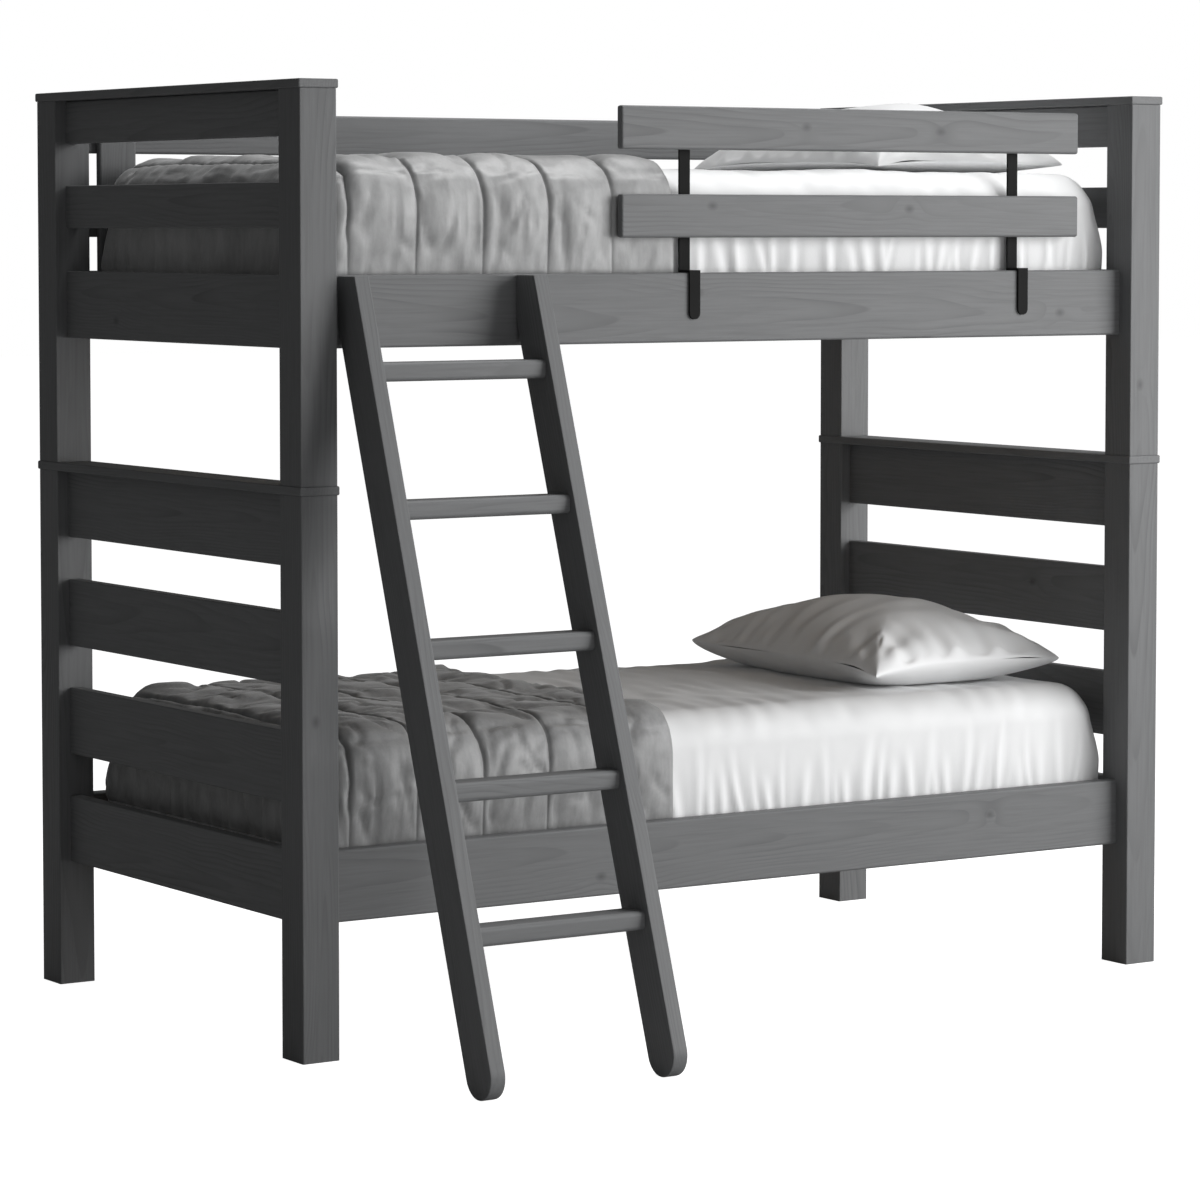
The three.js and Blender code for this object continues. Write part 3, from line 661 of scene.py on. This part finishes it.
def quilt_thickness(run, flat, normal, hem, low, rail_top, free_end, seed, rumple):
    """Puffed channels between sewn seams, puckered at the stitching and creased between."""
    puff, up = quilt_puff(flat, normal, rail_top, free_end)
    wobble = 0.003 * rumple * Ripples(seed, 0.3)(flat) * (0.4 + up)
    distance = seam_distance(run + wobble, hem)
    dome = np.sqrt(np.clip(1 - (1 - 2 * distance / CHANNEL) ** 2, 0, 1))
    crease = np.exp(-distance / SEAM_CREASE)
    body = 0.38 + 0.34 * dome + 0.28 * (1 - crease)
    away = rumple * smooth(distance, 0.0, 0.03)
    pucker = Ripples(seed + 1, 0.028, (3.0, 1, 1))(flat) * np.exp(-distance / 0.02) * (1 - crease)
    low_down = 0.45 + 0.55 * (1 - smooth(flat[:, 2], rail_top, rail_top + 0.17))
    hang = quilt_folds(flat, seed, HANGING_RIPPLE, HANGING_VALLEYS)
    lying = quilt_folds(flat, seed, LYING_RIPPLE, LYING_VALLEYS)
    relief = 0.07 * pucker + away * ((1 - up) * low_down * hang + up * lying)
    thickness = puff * np.clip(body + relief, 0.10, 1.12)
    edge = np.clip((hem - flat[:, 0]) / HEM_ROUND, 0, 1)
    foot_ease = smooth(flat[:, 2], low[2], low[2] + FOOT_ROUND)
    return thickness * (0.2 + 0.8 * np.sqrt(edge * (2 - edge))) * (0.4 + 0.6 * foot_ease)


def make_comforter(bed):
    """A quilt over the foot half of the mattress, hanging just inside the rails."""
    node = f"{bed}_comforter"
    low, high = (np.array(corner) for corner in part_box(node))
    base_low, base_high = (np.array(corner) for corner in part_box(f"{bed}_mattress"))
    rail_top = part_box(f"{bed}_rail_front")[1].z
    hem = high[0]
    xs = with_seams(spaced(base_low[0], hem, QUILT_STEP), hem)
    ys = spaced(base_low[1], base_high[1], QUILT_STEP)
    zs = with_seams(spaced(low[2], base_high[2], QUILT_STEP), hem - base_low[0] + base_high[2])
    points, faces = box_surface(xs, ys, zs, ("foot", "front", "rear", "top"))
    box_high = np.array([hem + 1, base_high[1], base_high[2]])
    skin, normal = round_box(points, base_low, box_high, **QUILT_ROUNDS)
    foot = smooth(-normal[:, 0], 0.3, 0.75)
    run = points[:, 0] - (base_high[2] - points[:, 2]) * foot
    seed = 31 + 7 * BEDS.index(bed)
    free_end = hem if bed == "lower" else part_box("guard_board_1")[0].x - GUARD_MARGIN
    thickness = quilt_thickness(run, points, normal, hem, low, rail_top, free_end, seed, RUMPLE[bed])
    outer = skin + normal * (QUILT_GAP + thickness)[:, None]
    inner = skin + normal * QUILT_GAP
    closed, shell = thicken(outer, inner, faces)
    piece = new_piece(f"{bed}_quilted_comforter", closed, shell, MATERIALS[f"{bed}_quilt"],
                      f"{bed}_comforter_body")
    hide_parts(node)


# ---- pillow --------------------------------------------------------------------------------------------

PILLOW_CELLS = (110, 140)
PILLOW_HALF = (0.245, 0.34)  # metres along and across the bed
PILLOW_PINCH = 0.06  # how far the seam draws in between the corners
PILLOW_TOP_ROOM = 0.006  # left under the top of the box for wrinkles
GATHER_DEPTH = 0.006
CORNER_FOLD_DEPTH = 0.0065
CORNER_FOLD_REACH = 0.17
DENT_DEPTH = 0.0045
# Height of the seam above the mattress at the foot-front, foot-rear, head-front and head-rear
# corners, and between them.
PILLOW_SEAM = {
    "lower": (0.034, 0.057, 0.047, 0.05, 0.052),
    "upper": (0.012, 0.008, 0.018, 0.02, 0.024),
}


def pillow_seam(bed, u, v):
    """Height of the sewn edge above the mattress."""
    foot_front, foot_rear, head_front, head_rear, between = PILLOW_SEAM[bed]
    front = foot_front + (head_front - foot_front) * (u + 1) / 2
    rear = foot_rear + (head_rear - foot_rear) * (u + 1) / 2
    corners = front + (rear - front) * (v + 1) / 2
    share = np.abs(u * v) ** 3
    return corners * share + between * (1 - share)


def pillow_dome(u, v):
    """1 at the crown, 0 on the seam, with a soft hip towards each corner."""
    a = (1 - np.abs(u) ** 2.1) ** 0.72
    b = (1 - np.abs(v) ** 2.3) ** 0.66
    hip = (np.maximum(a, 1e-6) ** -5 + np.maximum(b, 1e-6) ** -5) ** -0.2 * 2 ** 0.2
    return np.clip(0.5 * a * b + 0.5 * np.minimum(hip, 1), 0, 1)


def pillow_wrinkles(u, v, x, y, seed):
    """Short gathers square to the seam, folds running in from the corners, soft dents."""
    flat = np.stack([x, y, np.zeros_like(x)], -1)
    to_side, to_end = (1 - np.abs(u)) * PILLOW_HALF[0], (1 - np.abs(v)) * PILLOW_HALF[1]
    to_seam = np.minimum(to_side, to_end)
    beside = smooth(to_seam, 0.0, 0.012) * np.exp(-to_seam / 0.06)
    gathers = np.where(to_side < to_end, Ripples(seed, 0.05, (5, 1, 1))(flat),
                       Ripples(seed + 1, 0.05, (1, 5, 1))(flat))
    relief = GATHER_DEPTH * gathers * beside * smooth(np.hypot(to_side, to_end), 0.02, 0.10)
    relief += corner_folds(u, v, np.random.default_rng(seed))
    dents = Ripples(seed + 2, 0.22)(flat) * DENT_DEPTH
    dents += Ripples(seed + 3, 0.1, (1.8, 1, 1))(flat) * 0.0012
    return relief + dents * smooth(to_seam, 0.0, 0.08)


def corner_folds(u, v, rng):
    """Rays of shallow folds out of each corner, gone at the corner itself."""
    relief = np.zeros_like(u)
    for side_u in (-1, 1):
        for side_v in (-1, 1):
            du = (side_u - u) * side_u * PILLOW_HALF[0]
            dv = (side_v - v) * side_v * PILLOW_HALF[1]
            angle, far = np.arctan2(dv, du), np.hypot(du, dv)
            rays = np.cos(rng.uniform(9, 13) * angle + rng.uniform(0, 6) + 9 * far)
            fade = smooth(far, 0.03, 0.10) * np.exp(-((far / CORNER_FOLD_REACH) ** 2))
            relief += CORNER_FOLD_DEPTH * rays * fade
    return relief


def make_pillow(bed):
    """A stuffed pillow: a domed top and a hollow under its rim, sewn along one edge."""
    node = f"{bed}_pillow"
    low, high = (np.array(corner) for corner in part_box(node))
    us, vs = (np.sin(np.linspace(-1, 1, n + 1) * math.pi / 2) for n in PILLOW_CELLS)
    lattice, faces = box_surface(us, vs, np.array([-1.0, 1.0]), ("bottom", "top"))
    u, v, top = lattice[:, 0], lattice[:, 1], lattice[:, 2] > 0
    middle, half = (low + high) / 2, (high - low) / 2
    x = middle[0] + half[0] * u * (1 - PILLOW_PINCH * (1 - v ** 2))
    y = middle[1] + half[1] * v * (1 - PILLOW_PINCH * (1 - u ** 2))
    seam = pillow_seam(bed, u, v)
    dome = pillow_dome(u, v)
    wrinkles = pillow_wrinkles(u, v, x, y, 71 + BEDS.index(bed))
    crown = high[2] - low[2] - PILLOW_TOP_ROOM
    upper = seam + (crown - seam) * dome + wrinkles
    under = seam * (1 - np.minimum(1, 1.5 * dome ** 0.8))
    points = np.stack([x, y, low[2] + np.where(top, upper, under)], -1)
    piece = new_piece(f"{bed}_stuffed_pillow", points, faces, MATERIALS["pillow"],
                      f"{bed}_pillow_body")
    weld_piece(piece)
    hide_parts(node)


SEAM_WELD = 1e-5


def weld_piece(piece):
    """Sews the two sides together round the seam."""
    work = bmesh.new()
    work.from_mesh(piece.data)
    bmesh.ops.remove_doubles(work, verts=work.verts, dist=SEAM_WELD)
    work.to_mesh(piece.data)
    work.free()


# ---- hanger screws ---------------------------------------------------------------------------------------

SCREW_SIDES = 16
SCREW_PROFILE = (  # radius, height
    (0.0055, 0.0),
    (0.0055, 0.0008),
    (0.004, 0.0022),
    (0.0014, 0.0029),
)
SCREW_SPREAD = 0.022  # above and below each board's middle


def screw_head(name, place):
    """A pan head standing towards +Y on a closed foot."""
    turns = np.linspace(0, 2 * math.pi, SCREW_SIDES, endpoint=False)
    rings = [np.stack([r * np.cos(turns), np.full(SCREW_SIDES, h), -r * np.sin(turns)], -1)
             for r, h in SCREW_PROFILE]
    faces = [tuple(range(SCREW_SIDES))[::-1]]
    for level in range(len(rings) - 1):
        for side in range(SCREW_SIDES):
            following = (side + 1) % SCREW_SIDES
            lower, upper = level * SCREW_SIDES, (level + 1) * SCREW_SIDES
            faces.append((lower + side, lower + following, upper + following, upper + side))
    top = (len(rings) - 1) * SCREW_SIDES
    faces.append(tuple(range(top, top + SCREW_SIDES)))
    points = np.concatenate(rings) + np.array(place)
    new_piece(name, points, faces, MATERIALS["zinc"], "guard_rail")


def make_hanger_screws():
    """Two screws through each hanger into the back of each guard board."""
    for hanger in (1, 2):
        low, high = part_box(f"guard_bracket_{hanger}")
        for board in (1, 2):
            foot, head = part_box(f"guard_board_{board}")
            for step, lift in enumerate((-SCREW_SPREAD, SCREW_SPREAD), start=1):
                place = ((low.x + high.x) / 2, high.y, (foot.z + head.z) / 2 + lift)
                screw_head(f"hanger_{hanger}_board_{board}_screw_{step}", place)


# ---- assembly ------------------------------------------------------------------------------------------

make_camera()
make_studio()
make_floor()
MATERIALS = {
    "zinc": zinc_steel(),
    "sheet": cotton_sheet(),
    "pillow": pillow_satin(),
    "upper_quilt": quilt_cloth("light_quilt", 0.27, 0.42),
    "lower_quilt": quilt_cloth("dark_quilt", 0.19, 0.34),
}
dress_frame()
make_hanger_screws()
for bed in BEDS:
    make_mattress(bed)
    make_comforter(bed)
    make_pillow(bed)
